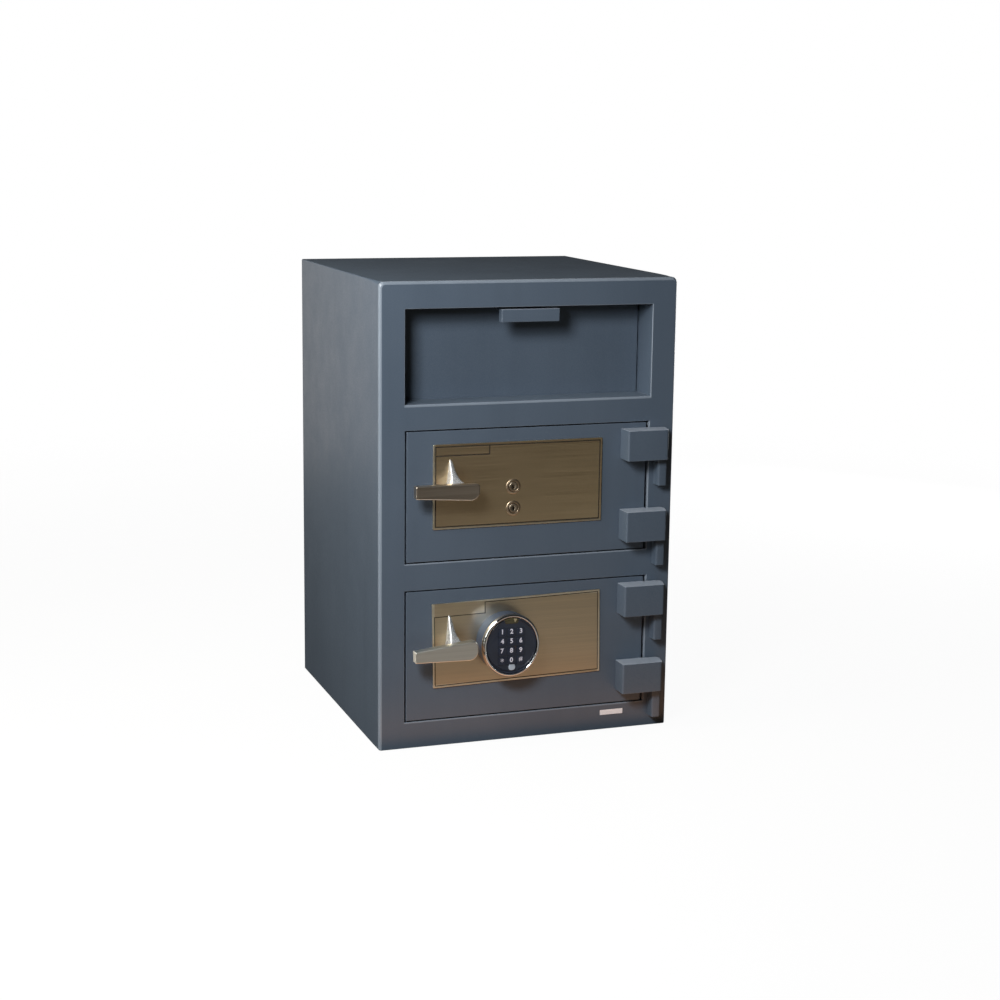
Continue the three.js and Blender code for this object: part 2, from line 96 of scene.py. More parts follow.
# ------------------------------------------------------------------ material tools
class Finish:
    """A material and short names for what its node tree needs."""

    def __init__(self, name):
        self.material = bpy.data.materials.new(name)
        self.material.use_nodes = True
        self.tree = self.material.node_tree
        self.shader = next(n for n in self.tree.nodes if n.type == "BSDF_PRINCIPLED")
        self.coords = self.tree.nodes.new("ShaderNodeTexCoord")

    def new(self, kind, **values):
        node = self.tree.nodes.new(kind)
        for k, v in values.items():
            setattr(node, k, v)
        return node

    def link(self, a, b):
        self.tree.links.new(a, b)

    def place(self, scale=(1, 1, 1), turn=(0, 0, 0), move=(0, 0, 0)):
        node = self.new("ShaderNodeMapping")
        node.inputs["Location"].default_value = move
        node.inputs["Rotation"].default_value = turn
        node.inputs["Scale"].default_value = scale
        self.link(self.coords.outputs["Object"], node.inputs["Vector"])
        return node.outputs["Vector"]

    def noise(self, scale, detail=2.0, rough=0.5, at=None, distortion=0.0):
        node = self.new("ShaderNodeTexNoise")
        node.inputs["Scale"].default_value = scale
        node.inputs["Detail"].default_value = detail
        node.inputs["Roughness"].default_value = rough
        node.inputs["Distortion"].default_value = distortion
        self.link(at if at is not None else self.coords.outputs["Object"], node.inputs["Vector"])
        return node.outputs["Fac"]

    def spread(self, value, low, high, to_low=0.0, to_high=1.0, smooth=False):
        node = self.new("ShaderNodeMapRange")
        node.clamp = True
        if smooth:
            node.interpolation_type = "SMOOTHSTEP"
        node.inputs["From Min"].default_value = low
        node.inputs["From Max"].default_value = high
        node.inputs["To Min"].default_value = to_low
        node.inputs["To Max"].default_value = to_high
        self.link(value, node.inputs["Value"])
        return node.outputs["Result"]

    def maths(self, how, a, b):
        node = self.new("ShaderNodeMath", operation=how)
        for i, v in enumerate((a, b)):
            if isinstance(v, (int, float)):
                node.inputs[i].default_value = v
            else:
                self.link(v, node.inputs[i])
        return node.outputs["Value"]

    def mix(self, amount, a, b, how="MIX"):
        node = self.new("ShaderNodeMix", data_type="RGBA", blend_type=how)
        for name, v in (("Factor", amount), ("A", a), ("B", b)):
            socket = next(s for s in node.inputs if s.name == name and s.type == ("VALUE" if name == "Factor" else "RGBA"))
            if isinstance(v, (int, float)):
                socket.default_value = v
            elif isinstance(v, (tuple, list)):
                socket.default_value = (*v[:3], 1.0)
            else:
                self.link(v, socket)
        return next(s for s in node.outputs if s.type == "RGBA")

    def bump(self, height, strength, distance, normal=None):
        node = self.new("ShaderNodeBump")
        node.inputs["Strength"].default_value = strength
        node.inputs["Distance"].default_value = distance
        self.link(height, node.inputs["Height"])
        if normal is not None:
            self.link(normal, node.inputs["Normal"])
        return node.outputs["Normal"]

    def edges(self, radius, low, high):
        """1 on sharp and rounded edges, 0 on flats."""
        soft = self.new("ShaderNodeBevel")
        soft.samples = 4
        soft.inputs["Radius"].default_value = radius
        geometry = self.new("ShaderNodeNewGeometry")
        dot = self.new("ShaderNodeVectorMath", operation="DOT_PRODUCT")
        self.link(soft.outputs["Normal"], dot.inputs[0])
        self.link(geometry.outputs["Normal"], dot.inputs[1])
        return self.spread(dot.outputs["Value"], 1.0 - low, 1.0 - high, 0.0, 1.0)

    def set(self, **values):
        """Sets a socket of the shader to a constant, or links it to an output."""
        names = {"color": "Base Color", "rough": "Roughness", "metal": "Metallic", "normal": "Normal",
                 "coat": "Coat Weight", "coat_rough": "Coat Roughness", "aniso": "Anisotropic",
                 "specular": "Specular IOR Level", "ior": "IOR", "sheen": "Sheen Weight"}
        for k, v in values.items():
            socket = self.shader.inputs[names[k]]
            if isinstance(v, (int, float)):
                socket.default_value = v
            elif isinstance(v, tuple):
                socket.default_value = (*v[:3], 1.0)
            else:
                self.link(v, socket)


def paint(name, base, other, worn, rough, peel=0.16, edge_wear_and_highlight=0.30, top=None):
    """Satin blue-grey paint with a fine orange-peel skin and faint cloudiness; its edges are made paler, partly as
    rubbed wear and partly as a painted highlight.
    top: paler tone painted on upward-facing faces, a painted highlight of light from above."""
    f = Finish(name)
    cloud = f.spread(f.noise(3.2, 3.0, 0.55), 0.35, 0.68)
    c = f.mix(cloud, base, other)
    fleck = f.spread(f.noise(760.0, 2.0, 0.6), 0.36, 0.66)
    c = f.mix(f.maths("MULTIPLY", fleck, 0.10), c, worn)
    drag = f.spread(f.noise(1.0, 3.0, 0.6, f.place((34, 34, 2.2))), 0.42, 0.75)
    c = f.mix(f.maths("MULTIPLY", drag, 0.10), c, tuple(v * 0.55 for v in base))
    # edges painted paler: partly rubbed wear, partly a painted highlight along rounded edges
    rub_and_highlight = f.maths("MULTIPLY", f.edges(0.0022, 0.03, 0.30), f.spread(f.noise(60.0, 3.0, 0.6), 0.30, 0.62, 0.25, 1.0))
    c = f.mix(f.maths("MULTIPLY", rub_and_highlight, edge_wear_and_highlight), c, worn)
    # painted highlight: upward-facing faces are painted paler, as if lit from above
    if top is not None:
        geometry = f.new("ShaderNodeNewGeometry")
        sep = f.new("ShaderNodeSeparateXYZ")
        f.link(geometry.outputs["Normal"], sep.inputs["Vector"])
        painted_light_upper = f.spread(sep.outputs["Z"], 0.40, 0.85, smooth=True)
        c = f.mix(f.maths("MULTIPLY", painted_light_upper, f.spread(f.noise(90.0, 3.0, 0.6), 0.3, 0.6, 0.8, 1.0)), c, top)
    r = f.spread(f.noise(16.0, 3.0, 0.6), 0.3, 0.7, rough - 0.035, rough + 0.045)
    r = f.maths("ADD", r, f.spread(f.noise(420.0, 1.0), 0.35, 0.65, -0.03, 0.03))
    n = f.bump(f.noise(330.0, 2.0, 0.5), peel, 0.0005)
    n = f.bump(f.noise(1300.0, 1.0, 0.5), peel * 0.35, 0.0002, n)
    f.set(color=c, rough=r, normal=n, metal=0.0, ior=1.5)
    return f.material


def brushed(name, base, dark, light, rough, along, fine=900.0, streak=0.30, relief=0.12, metal=1.0, aniso=0.0):
    """Brushed metal: the grain runs along one axis ("x", "y" or "z")."""
    f = Finish(name)
    keep = {"x": 0, "y": 1, "z": 2}[along]

    def grain(low, high):
        scale = [high, high, high]
        scale[keep] = low
        return f.place(tuple(scale))

    hair = f.noise(1.0, 3.0, 0.65, grain(7.0, fine))
    band = f.noise(1.0, 3.0, 0.55, grain(2.0, fine * 0.16))
    wide = f.noise(4.5, 2.0, 0.5)
    c = f.mix(f.spread(band, 0.30, 0.70), dark, base)
    c = f.mix(f.maths("MULTIPLY", f.spread(hair, 0.45, 0.75), streak), c, light)
    c = f.mix(f.maths("MULTIPLY", f.spread(wide, 0.40, 0.70), 0.22), c, dark)
    r = f.spread(hair, 0.25, 0.75, rough - 0.07, rough + 0.09)
    r = f.maths("ADD", r, f.spread(wide, 0.3, 0.7, -0.03, 0.04))
    n = f.bump(hair, relief, 0.0003)
    f.set(color=c, rough=r, normal=n, metal=metal, aniso=aniso)
    return f.material


def trim_bronze(name, t, left, right, rim_tone, sides):
    """Brushed bronze-tinted plate, painted paler towards one end as painted light, with a bare rim outside its engraved
    line.
    """
    f = Finish(name)
    sep = f.new("ShaderNodeSeparateXYZ")
    f.link(f.coords.outputs["Object"], sep.inputs["Vector"])
    x, z = sep.outputs["X"], sep.outputs["Z"]
    hair = f.noise(1.0, 3.0, 0.65, f.place((7.0, 1100.0, 1100.0)))
    band = f.noise(1.0, 3.0, 0.55, f.place((2.0, 176.0, 176.0)))
    # painted light: the tone runs from left to right across the plate
    c = f.mix(f.spread(x, t[0] * MM, t[1] * MM), left, right)
    c = f.mix(f.maths("MULTIPLY", f.spread(band, 0.30, 0.70), 0.55), c, tuple(v * 0.80 for v in right))
    c = f.mix(f.maths("MULTIPLY", f.spread(hair, 0.45, 0.75), 0.26), c, tuple(min(1.0, v * 1.45) for v in left))
    far = None
    for side in sides:
        axis, low, sign = {"left": (x, t[0] + 3.0, -1), "right": (x, t[1] - 3.0, 1),
                           "bottom": (z, t[2] + 3.0, -1), "top": (z, t[3] - 3.0, 1)}[side]
        d = f.maths("MULTIPLY", f.maths("SUBTRACT", axis, low * MM), float(sign))
        far = d if far is None else f.maths("MAXIMUM", far, d)
    rim = f.maths("MULTIPLY", f.spread(far, -0.0002, 0.0003), f.spread(f.noise(45.0, 3.0, 0.6), 0.3, 0.62, 0.55, 1.0))
    c = f.mix(rim, c, rim_tone)
    r = f.spread(hair, 0.25, 0.75, 0.29, 0.45)
    f.set(color=c, rough=r, normal=f.bump(hair, 0.12, 0.0003), metal=1.0)
    return f.material


def chrome(name, base, tint, rough):
    f = Finish(name)
    smear = f.noise(38.0, 4.0, 0.6, distortion=0.6)
    c = f.mix(f.spread(smear, 0.35, 0.7), base, tint)
    r = f.spread(f.noise(70.0, 4.0, 0.65), 0.35, 0.75, rough, rough + 0.07)
    n = f.bump(f.noise(120.0, 2.0), 0.02, 0.0002)
    f.set(color=c, rough=r, normal=n, metal=1.0)
    return f.material


def cast_metal(name, base, dark, tint, rough):
    f = Finish(name)
    c = f.mix(f.spread(f.noise(22.0, 4.0, 0.6), 0.35, 0.7), base, dark)
    c = f.mix(f.maths("MULTIPLY", f.spread(f.noise(9.0, 2.0), 0.4, 0.7), 0.5), c, tint)
    r = f.spread(f.noise(160.0, 3.0), 0.3, 0.7, rough - 0.06, rough + 0.08)
    n = f.bump(f.noise(700.0, 2.0), 0.25, 0.0003)
    f.set(color=c, rough=r, normal=n, metal=0.9)
    return f.material


def plastic(name, base, other, rough, grain=1500.0, relief=0.08, coat=0.0):
    f = Finish(name)
    c = f.mix(f.spread(f.noise(30.0, 3.0), 0.35, 0.68), base, other)
    c = f.mix(f.maths("MULTIPLY", f.edges(0.0008, 0.05, 0.4), 0.35), c, tuple(min(1.0, v * 3.0 + 0.01) for v in base))
    r = f.spread(f.noise(55.0, 4.0, 0.6), 0.3, 0.72, rough - 0.04, rough + 0.07)
    n = f.bump(f.noise(grain, 2.0), relief, 0.0002)
    f.set(color=c, rough=r, normal=n, metal=0.0, coat=coat, coat_rough=0.1)
    return f.material


PAINT = paint("body_paint", (0.078, 0.104, 0.140), (0.070, 0.095, 0.130), (0.240, 0.270, 0.305), 0.38, edge_wear_and_highlight=0.55)
# paler paint for rounded front edges and window bevels: a painted highlight
PAINT_EDGE_HIGHLIGHT = paint("edge_paint_painted_highlight", (0.200, 0.234, 0.278), (0.172, 0.204, 0.248), (0.290, 0.320, 0.355), 0.34, edge_wear_and_highlight=0.25)
# paler paint on the right door jambs: painted light in the door gap
PAINT_JAMB_LIT = paint("jamb_paint_painted_light", (0.330, 0.380, 0.440), (0.290, 0.335, 0.395), (0.420, 0.470, 0.530), 0.42, edge_wear_and_highlight=0.25)
# paler paint on the sill top of the recess: painted light
PAINT_SILL_LIT = paint("sill_paint_painted_light", (0.128, 0.162, 0.205), (0.112, 0.144, 0.186), (0.240, 0.270, 0.305), 0.38, edge_wear_and_highlight=0.25)
# block paint: upward-facing faces painted paler as a painted highlight
PAINT_BLOCK_LIT_TOPS = paint("block_paint_painted_lit_tops", (0.078, 0.104, 0.140), (0.070, 0.095, 0.130), (0.240, 0.270, 0.305), 0.38, edge_wear_and_highlight=0.75,
                    top=(0.320, 0.360, 0.420))
PAINT_IN = paint("inner_paint", (0.060, 0.077, 0.098), (0.052, 0.068, 0.088), (0.150, 0.165, 0.185), 0.58, peel=0.22, edge_wear_and_highlight=0.22)
BRONZE = brushed("trim_bronze", (0.560, 0.435, 0.305), (0.460, 0.350, 0.235), (0.720, 0.600, 0.460), 0.36, "x", 1100.0, streak=0.26)
# the two plates are one bronze: the upper one is painted darker, paling to the right, as painted shade; the lower one
# paler, as painted light
UPPER_PLATE_SHADED = trim_bronze("upper_bronze_painted_shade", UPPER_TRIM, (0.650, 0.500, 0.315), (0.960, 0.770, 0.480), (0.940, 0.860, 0.670), ("left", "bottom"))
LOWER_PLATE_LIT = trim_bronze("lower_bronze_painted_light", LOWER_TRIM, (0.670, 0.550, 0.375), (0.680, 0.560, 0.385), (0.960, 0.880, 0.700), ("left", "bottom", "top", "right"))
# the two levers are one satin metal: the upper is a darker copy, painted shade, the lower a paler copy, painted light
SATIN_UP_SHADED = brushed("lever_satin_upper_painted_shade", (0.640, 0.560, 0.460), (0.520, 0.450, 0.370), (0.790, 0.710, 0.600), 0.33, "x", 1400.0, streak=0.30)
SATIN_LOW_LIT = brushed("lever_satin_lower_painted_light", (0.800, 0.800, 0.740), (0.670, 0.670, 0.610), (0.940, 0.930, 0.870), 0.36, "x", 1400.0, streak=0.30)
# pale metal for lever undersides and ends: painted reflection of the floor and painted light
SATIN_EDGE_REFLECTION = brushed("lever_edge_painted_reflection", (0.950, 0.900, 0.790), (0.860, 0.810, 0.690), (1.0, 0.97, 0.89), 0.45, "x", 1400.0, streak=0.30, metal=0.55)
NICKEL = brushed("satin_nickel", (0.165, 0.225, 0.350), (0.125, 0.178, 0.290), (0.270, 0.340, 0.470), 0.37, "y", 900.0, streak=0.22, metal=0.80)
CHROME = chrome("polished_chrome", (0.80, 0.81, 0.82), (0.66, 0.67, 0.69), 0.055)
SHANK = brushed("shank_chrome", (0.80, 0.82, 0.83), (0.66, 0.68, 0.70), (0.95, 0.96, 0.97), 0.24, "z", 500.0, streak=0.20, relief=0.04, metal=0.62)
PLUG = chrome("plug_chrome", (0.49, 0.405, 0.30), (0.40, 0.33, 0.245), 0.38)
STEEL = brushed("bright_steel", (0.46, 0.46, 0.46), (0.33, 0.33, 0.34), (0.62, 0.62, 0.62), 0.34, "x", 800.0, streak=0.30)
ZINC = cast_metal("lock_zinc", (0.42, 0.40, 0.35), (0.33, 0.31, 0.26), (0.44, 0.40, 0.27), 0.45)
FACE = plastic("keypad_face", (0.013, 0.018, 0.031), (0.018, 0.025, 0.043), 0.30, coat=0.25)
KEYS = plastic("keypad_keys", (0.013, 0.019, 0.036), (0.018, 0.025, 0.046), 0.42, grain=2200.0, relief=0.12)


def numerals():
    f = Finish("numeral_white")
    c = f.mix(f.spread(f.noise(500.0, 3.0), 0.35, 0.7), (0.74, 0.75, 0.84), (0.62, 0.63, 0.73))
    f.set(color=c, rough=f.spread(f.noise(900.0, 2.0), 0.3, 0.7, 0.42, 0.58), metal=0.0)
    return f.material


def enamel():
    f = Finish("groove_enamel")
    c = f.mix(f.spread(f.noise(240.0, 3.0), 0.35, 0.7), (0.022, 0.016, 0.010), (0.045, 0.033, 0.020))
    f.set(color=c, rough=f.spread(f.noise(400.0, 2.0), 0.3, 0.7, 0.45, 0.62), metal=0.0)
    return f.material


def smoked():
    """Smoked window: dark, with a painted olive reflection at the top that fades downwards."""
    f = Finish("smoked_window")
    sep = f.new("ShaderNodeSeparateXYZ")
    f.link(f.coords.outputs["Object"], sep.inputs["Vector"])
    # the upper part of the window takes the painted olive reflection
    painted_light_upper = f.spread(sep.outputs["Z"], 0.200, 0.213)
    c = f.mix(painted_light_upper, (0.006, 0.006, 0.007), (0.060, 0.052, 0.020))
    c = f.mix(f.maths("MULTIPLY", f.spread(f.noise(260.0, 3.0), 0.45, 0.7), 0.25), c, (0.090, 0.078, 0.040))
    f.set(color=c, rough=f.spread(f.noise(300.0, 2.0), 0.3, 0.7, 0.10, 0.20), metal=0.0, coat=0.4, coat_rough=0.06)
    return f.material


def label_white():
    f = Finish("label_white")
    c = f.mix(f.spread(f.noise(900.0, 3.0), 0.35, 0.7), (0.94, 0.94, 0.97), (0.86, 0.86, 0.90))
    c = f.mix(f.maths("MULTIPLY", f.spread(f.noise(40.0, 2.0), 0.45, 0.7), 0.3), c, (0.74, 0.74, 0.78))
    f.set(color=c, rough=f.spread(f.noise(600.0, 2.0), 0.3, 0.7, 0.46, 0.6), metal=0.0, normal=f.bump(f.noise(1500.0, 2.0), 0.08, 0.0002))
    return f.material


NUMERAL, ENAMEL, SMOKED, LABEL = numerals(), enamel(), smoked(), label_white()
DISC = brushed("badge_silver", (0.58, 0.68, 0.80), (0.46, 0.55, 0.67), (0.76, 0.85, 0.96), 0.34, "x", 1800.0, streak=0.25, metal=0.45)
GOLD = brushed("index_gold", (0.62, 0.55, 0.36), (0.48, 0.42, 0.26), (0.80, 0.74, 0.54), 0.38, "z", 1800.0, streak=0.25, metal=0.6)


# ------------------------------------------------------------------ mesh tools
def to_object(name, bm):
    bmesh.ops.recalc_face_normals(bm, faces=bm.faces)
    me = bpy.data.meshes.new(name)
    bm.to_mesh(me)
    bm.free()
    ob = bpy.data.objects.new(name, me)
    scene.collection.objects.link(ob)
    return ob


def piece(ob, body, slot, materials, *stands_for, smooth=True):
    """Finishes an object as a piece of the safe."""
    if not ob.data.materials:
        for m in materials:
            ob.data.materials.append(m)
    if smooth:
        for p in ob.data.polygons:
            p.use_smooth = True
    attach(ob, body)
    if stands_for:
        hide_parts(*stands_for)
    return ob


def even_normals(ob, sharp=False):
    m = ob.modifiers.new("even_normals", "WEIGHTED_NORMAL")
    m.mode = "FACE_AREA"
    m.weight = 100
    m.keep_sharp = sharp


def soften(ob, width, segments=3, angle=35.0, weights=False):
    m = ob.modifiers.new("soften", "BEVEL")
    m.width = width * MM
    m.segments = segments
    m.limit_method = "WEIGHT" if weights else "ANGLE"
    m.angle_limit = math.radians(angle)
    m.miter_outer = "MITER_ARC"
    even_normals(ob)


def bake(ob):
    """Applies an object's modifiers."""
    dg = bpy.context.evaluated_depsgraph_get()
    dg.update()
    me = bpy.data.meshes.new_from_object(ob.evaluated_get(dg), preserve_all_data_layers=True, depsgraph=dg)
    ob.modifiers.clear()
    old = ob.data
    ob.data = me
    if old.users == 0:
        bpy.data.meshes.remove(old)
    return ob


def carve(ob, cutters, how="DIFFERENCE"):
    for c in cutters:
        m = ob.modifiers.new("carve", "BOOLEAN")
        m.operation = how
        m.solver = "EXACT"
        m.object = c
        m.material_mode = "TRANSFER"
    bake(ob)
    for c in cutters:
        data = c.data
        bpy.data.objects.remove(c)
        bpy.data.meshes.remove(data)
    return ob


def block(x0, x1, y0, y1, z0, z1):
    bm = bmesh.new()
    bmesh.ops.create_cube(bm, size=1.0)
    for v in bm.verts:
        v.co = Vector(((x0 if v.co.x < 0 else x1) * MM, (y0 if v.co.y < 0 else y1) * MM, (z0 if v.co.z < 0 else z1) * MM))
    return bm


def prism(outline, a0, a1, axis="y"):
    """A prism on a closed outline: (x, z) pairs along y, (x, y) pairs along z, or (y, z) pairs along x."""
    bm = bmesh.new()

    def at(p, a):
        return {"y": (p[0], a, p[1]), "z": (p[0], p[1], a), "x": (a, p[0], p[1])}[axis]

    near = [bm.verts.new(Vector(at(p, a0)) * MM) for p in outline]
    far = [bm.verts.new(Vector(at(p, a1)) * MM) for p in outline]
    bm.faces.new(near)
    bm.faces.new(list(reversed(far)))
    n = len(outline)
    for i in range(n):
        j = (i + 1) % n
        bm.faces.new((near[j], near[i], far[i], far[j]))
    bmesh.ops.recalc_face_normals(bm, faces=bm.faces)
    return bm


def fillet(points, radii, steps=6):
    """Rounds the corners of a closed outline."""
    out = []
    n = len(points)
    for i, p in enumerate(points):
        r = radii[i] if isinstance(radii, (list, tuple)) else radii
        p = Vector(p)
        a = (Vector(points[i - 1]) - p).normalized()
        b = (Vector(points[(i + 1) % n]) - p).normalized()
        if r <= 0:
            out.append(tuple(p))
            continue
        half = math.acos(max(-1, min(1, a.dot(b)))) / 2
        reach = r / math.tan(half)
        centre = p + (a + b).normalized() * (r / math.sin(half))
        start, end = p + a * reach - centre, p + b * reach - centre
        t0 = math.atan2(start.y, start.x)
        t1 = math.atan2(end.y, end.x)
        while t1 - t0 > math.pi:
            t1 -= 2 * math.pi
        while t1 - t0 < -math.pi:
            t1 += 2 * math.pi
        for k in range(steps + 1):
            t = t0 + (t1 - t0) * k / steps
            out.append((centre.x + r * math.cos(t), centre.y + r * math.sin(t)))
    return out


def rect(x0, x1, z0, z1):
    return [(x0, z0), (x1, z0), (x1, z1), (x0, z1)]


def edge_pick(bm, test):
    return [e for e in bm.edges if all(test(v.co) for v in e.verts)]


def round_rim(bm, y, r, steps=4):
    """Rounds the rim of the face that lies at this y."""
    rim = [e for e in bm.edges if all(abs(v.co.y - y * MM) < 1e-6 for v in e.verts)]
    bmesh.ops.bevel(bm, geom=rim, offset=r * MM, offset_type="OFFSET", segments=steps, profile=0.5, affect="EDGES", clamp_overlap=True)


def turned(profile, x, z, around=96):
    """A turned solid about an axis along Y; the profile is (radius, y) pairs from axis or wall back to it."""
    bm = bmesh.new()
    rings = []
    for r, y in profile:
        if r < 1e-6:
            rings.append([bm.verts.new((x * MM, y * MM, z * MM))])
        else:
            rings.append([bm.verts.new(((x + r * math.cos(2 * math.pi * k / around)) * MM, y * MM,
                                        (z + r * math.sin(2 * math.pi * k / around)) * MM)) for k in range(around)])
    closed = profile[0][0] > 1e-6
    pairs = list(zip(rings, rings[1:])) + ([(rings[-1], rings[0])] if closed else [])
    for a, b in pairs:
        for k in range(around):
            j = (k + 1) % around
            if len(a) == 1 and len(b) == 1:
                continue
            if len(a) == 1:
                bm.faces.new((a[0], b[j], b[k]))
            elif len(b) == 1:
                bm.faces.new((a[k], a[j], b[0]))
            else:
                bm.faces.new((a[k], a[j], b[j], b[k]))
    bmesh.ops.recalc_face_normals(bm, faces=bm.faces)
    return bm


def turned_x(r, x0, x1, y, z, around=32):
    """A round bar along X."""
    bm = turned([(0, x0), (r, x0), (r, x1), (0, x1)], y, z, around)
    for v in bm.verts:
        v.co = Vector((v.co.y, v.co.x, v.co.z))
    bmesh.ops.recalc_face_normals(bm, faces=bm.faces)
    return bm


def keep_cad(node, material, soft=0.0, segments=2, angle=50.0):
    """A CAD node that keeps its shape: a finish, merged corners and softened edges."""
    ob = NODES[node]
    ob.data.materials.clear()
    ob.data.materials.append(material)
    weld = ob.modifiers.new("weld", "WELD")
    weld.merge_threshold = 0.00002
    flat = ob.modifiers.new("flat", "DECIMATE")
    flat.decimate_type = "DISSOLVE"
    flat.angle_limit = math.radians(1.0)
    if soft > 0:
        soften(ob, soft, segments, angle)
    else:
        even_normals(ob)
    for p in ob.data.polygons:
        p.use_smooth = True


# ------------------------------------------------------------------ cabinet: one continuous welded body
def round_rect(inset, radius, y, steps=6):
    """Ring of points at this y: the cabinet's outline, set in (less at the foot and on the right), with rounded corners."""
    x0, x1, z0, z1 = X0 + inset, X1 - inset * 0.45, inset * 0.12, H - inset
    return [Vector((x * MM, y * MM, z * MM)) for x, z in fillet(rect(x0, x1, z0, z1), radius, steps)]


def cabinet_shell():
    """Plates, recess walls and drawer housing as one welded and painted body."""
    edge, bm = 5.0, bmesh.new()
    rings = []
    for k in range(7):
        t = math.pi / 2 * k / 6
        rings.append((edge * (1 - math.sin(t)), (3.0, 3.0, 8.5, 8.5), YF + edge * (1 - math.cos(t))))
    rings += [(0.0, (3.0, 3.0, 8.5, 8.5), -236.0), (0.0, (2.3, 2.3, 4.0, 4.0), -215.0), (0.0, 2.3, -180.0), (0.0, 2.3, YB - 2.75)]
    for k in range(1, 5):
        t = math.pi / 2 * k / 4
        rings.append((2.75 * (1 - math.cos(t)), 2.3, YB - 2.75 * (1 - math.sin(t))))
    rows = [[bm.verts.new(p) for p in round_rect(i, tuple(max(0.6, q - 0.4 * i) for q in (r if isinstance(r, tuple) else (r,) * 4)), y)]
            for i, r, y in rings]
    n = len(rows[0])
    for k, (a, b) in enumerate(zip(rows, rows[1:])):
        for i in range(n):
            j = (i + 1) % n
            face = bm.faces.new((a[i], a[j], b[j], b[i]))
            # the front rounding takes the paler edge paint, a painted highlight
            face.material_index = 1 if k < 6 else 0
    bm.faces.new(rows[0])
    bm.faces.new(list(reversed(rows[-1])))
    ob = to_object("cabinet_shell", bm)
    for m in (PAINT, PAINT_EDGE_HIGHLIGHT, PAINT_SILL_LIT, PAINT_JAMB_LIT):
        ob.data.materials.append(m)

    def tool(bm):
        c = to_object("tool", bm)
        c.data.materials.append(PAINT)
        return c

    def cutter(x0, x1, y0, y1, z0, z1):
        return tool(block(x0, x1, y0, y1, z0, z1))

    x0, x1, z0, z1 = DRAWER_WIN
    top = H - 4.8
    carve(ob, [cutter(X0 + 4.8, X1 - 4.8, YFB, YB - 4.8, 4.8, top)]
          + [cutter(w[0], w[1], YF - 10, YFB + 5, w[2], w[3]) for w in (DRAWER_WIN, UPPER_WIN, LOWER_WIN)])
    # housing of the deposit drawer: cheeks, sill and roof run on flush from the edge of the recess
    cheek = [(YFB - 1, 556), (YFB - 1, top + 1), (-33.5, top + 1), (-33.5, 690), (-20, 650), (-20, 520), (-60, 480), (-120, 480)]
    carve(ob, [tool(prism(cheek, x0 - 3.5, x0, "x")), tool(prism(cheek, x1, x1 + 3.5, "x")),
               cutter(x0 - 1, x1 + 1, YFB - 1, PANEL_Y - 0.6, z0 - 3, z0), cutter(x0 - 1, x1 + 1, YFB - 1, YFB + 3, 540, z0 - 1),
               cutter(x0 - 1, x1 + 1, YFB - 1, -188, z1, z1 + 3.5), cutter(x0 - 1, x1 + 1, -191, -188, z1 + 1, top + 1)], "UNION")
    rod = [tool(turned_x(4.5, side - 6, side + 6, -187, 579)) for side in (x0 - 1.75, x1 + 1.75)]
    carve(ob, rod)
    me = ob.data
    attribute = me.attributes.get("bevel_weight_edge") or me.attributes.new("bevel_weight_edge", "FLOAT", "EDGE")
    wins = (DRAWER_WIN, UPPER_WIN, LOWER_WIN)

    def near(a, b):
        return abs(a - b) < 0.01

    def rim(a, b):
        """How far the edge from a to b is rounded, if it is a window's front edge."""
        (ax, ay, az), (bx, by, bz) = (tuple(v / MM for v in q) for q in (a, b))
        if not (near(ay, YF) and near(by, YF)):
            return 0.0
        for i, (wx0, wx1, wz0, wz1) in enumerate(wins):
            if min(ax, bx) < wx0 - 0.01 or max(ax, bx) > wx1 + 0.01 or min(az, bz) < wz0 - 0.01 or max(az, bz) > wz1 + 0.01:
                continue
            if near(az, wz0) and near(bz, wz0):
                return 3.9 if i == 0 else 2.0
            if near(ax, wx1) and near(bx, wx1):
                return 2.3 if i == 0 else 1.1
            if (near(az, wz1) and near(bz, wz1)) or (near(ax, wx0) and near(bx, wx0)):
                return 0.5
        return 0.0

    for e in me.edges:
        attribute.data[e.index].value = rim(*(me.vertices[i].co for i in e.vertices)) / 6.0
    m = ob.modifiers.new("window_edges", "BEVEL")
    m.width = 6.0 * MM
    m.segments = 5
    m.limit_method = "WEIGHT"
    m.use_clamp_overlap = False
    # bevelled window edges take the paler edge paint, a painted highlight
    m.material = 1
    bake(ob)
    for p in ob.data.polygons:
        p.use_smooth = True
        cx, cy, cz = (v / MM for v in p.center)
        # right jambs of the door windows take the painted light
        if p.normal.x < -0.95 and YF < cy < YFB + 1 and (near(cx, UPPER_WIN[1]) or near(cx, LOWER_WIN[1])):
            p.material_index = 3
        # the rounding on the right, turned away from the light, keeps the plain paint: no painted highlight there
        elif cx > X1 - 6 and p.normal.x > 0.12:
            p.material_index = 0
        # the sill's top takes the painted light
        elif p.normal.z > 0.95 and near(cz, z0) and cy < PANEL_Y and x0 < cx < x1:
            p.material_index = 2
    ob.data.set_sharp_from_angle(angle=math.radians(38))
    even_normals(ob, sharp=True)
    return piece(ob, "cabinet", "body_paint", [PAINT, PAINT_EDGE_HIGHLIGHT, PAINT_SILL_LIT, PAINT_JAMB_LIT], "front_frame", "left_side", "right_side",
                 "top_plate", "bottom_plate", "back_plate", "drawer_cheek_left", "drawer_cheek_right",
                 "drawer_sill", "drawer_roof")


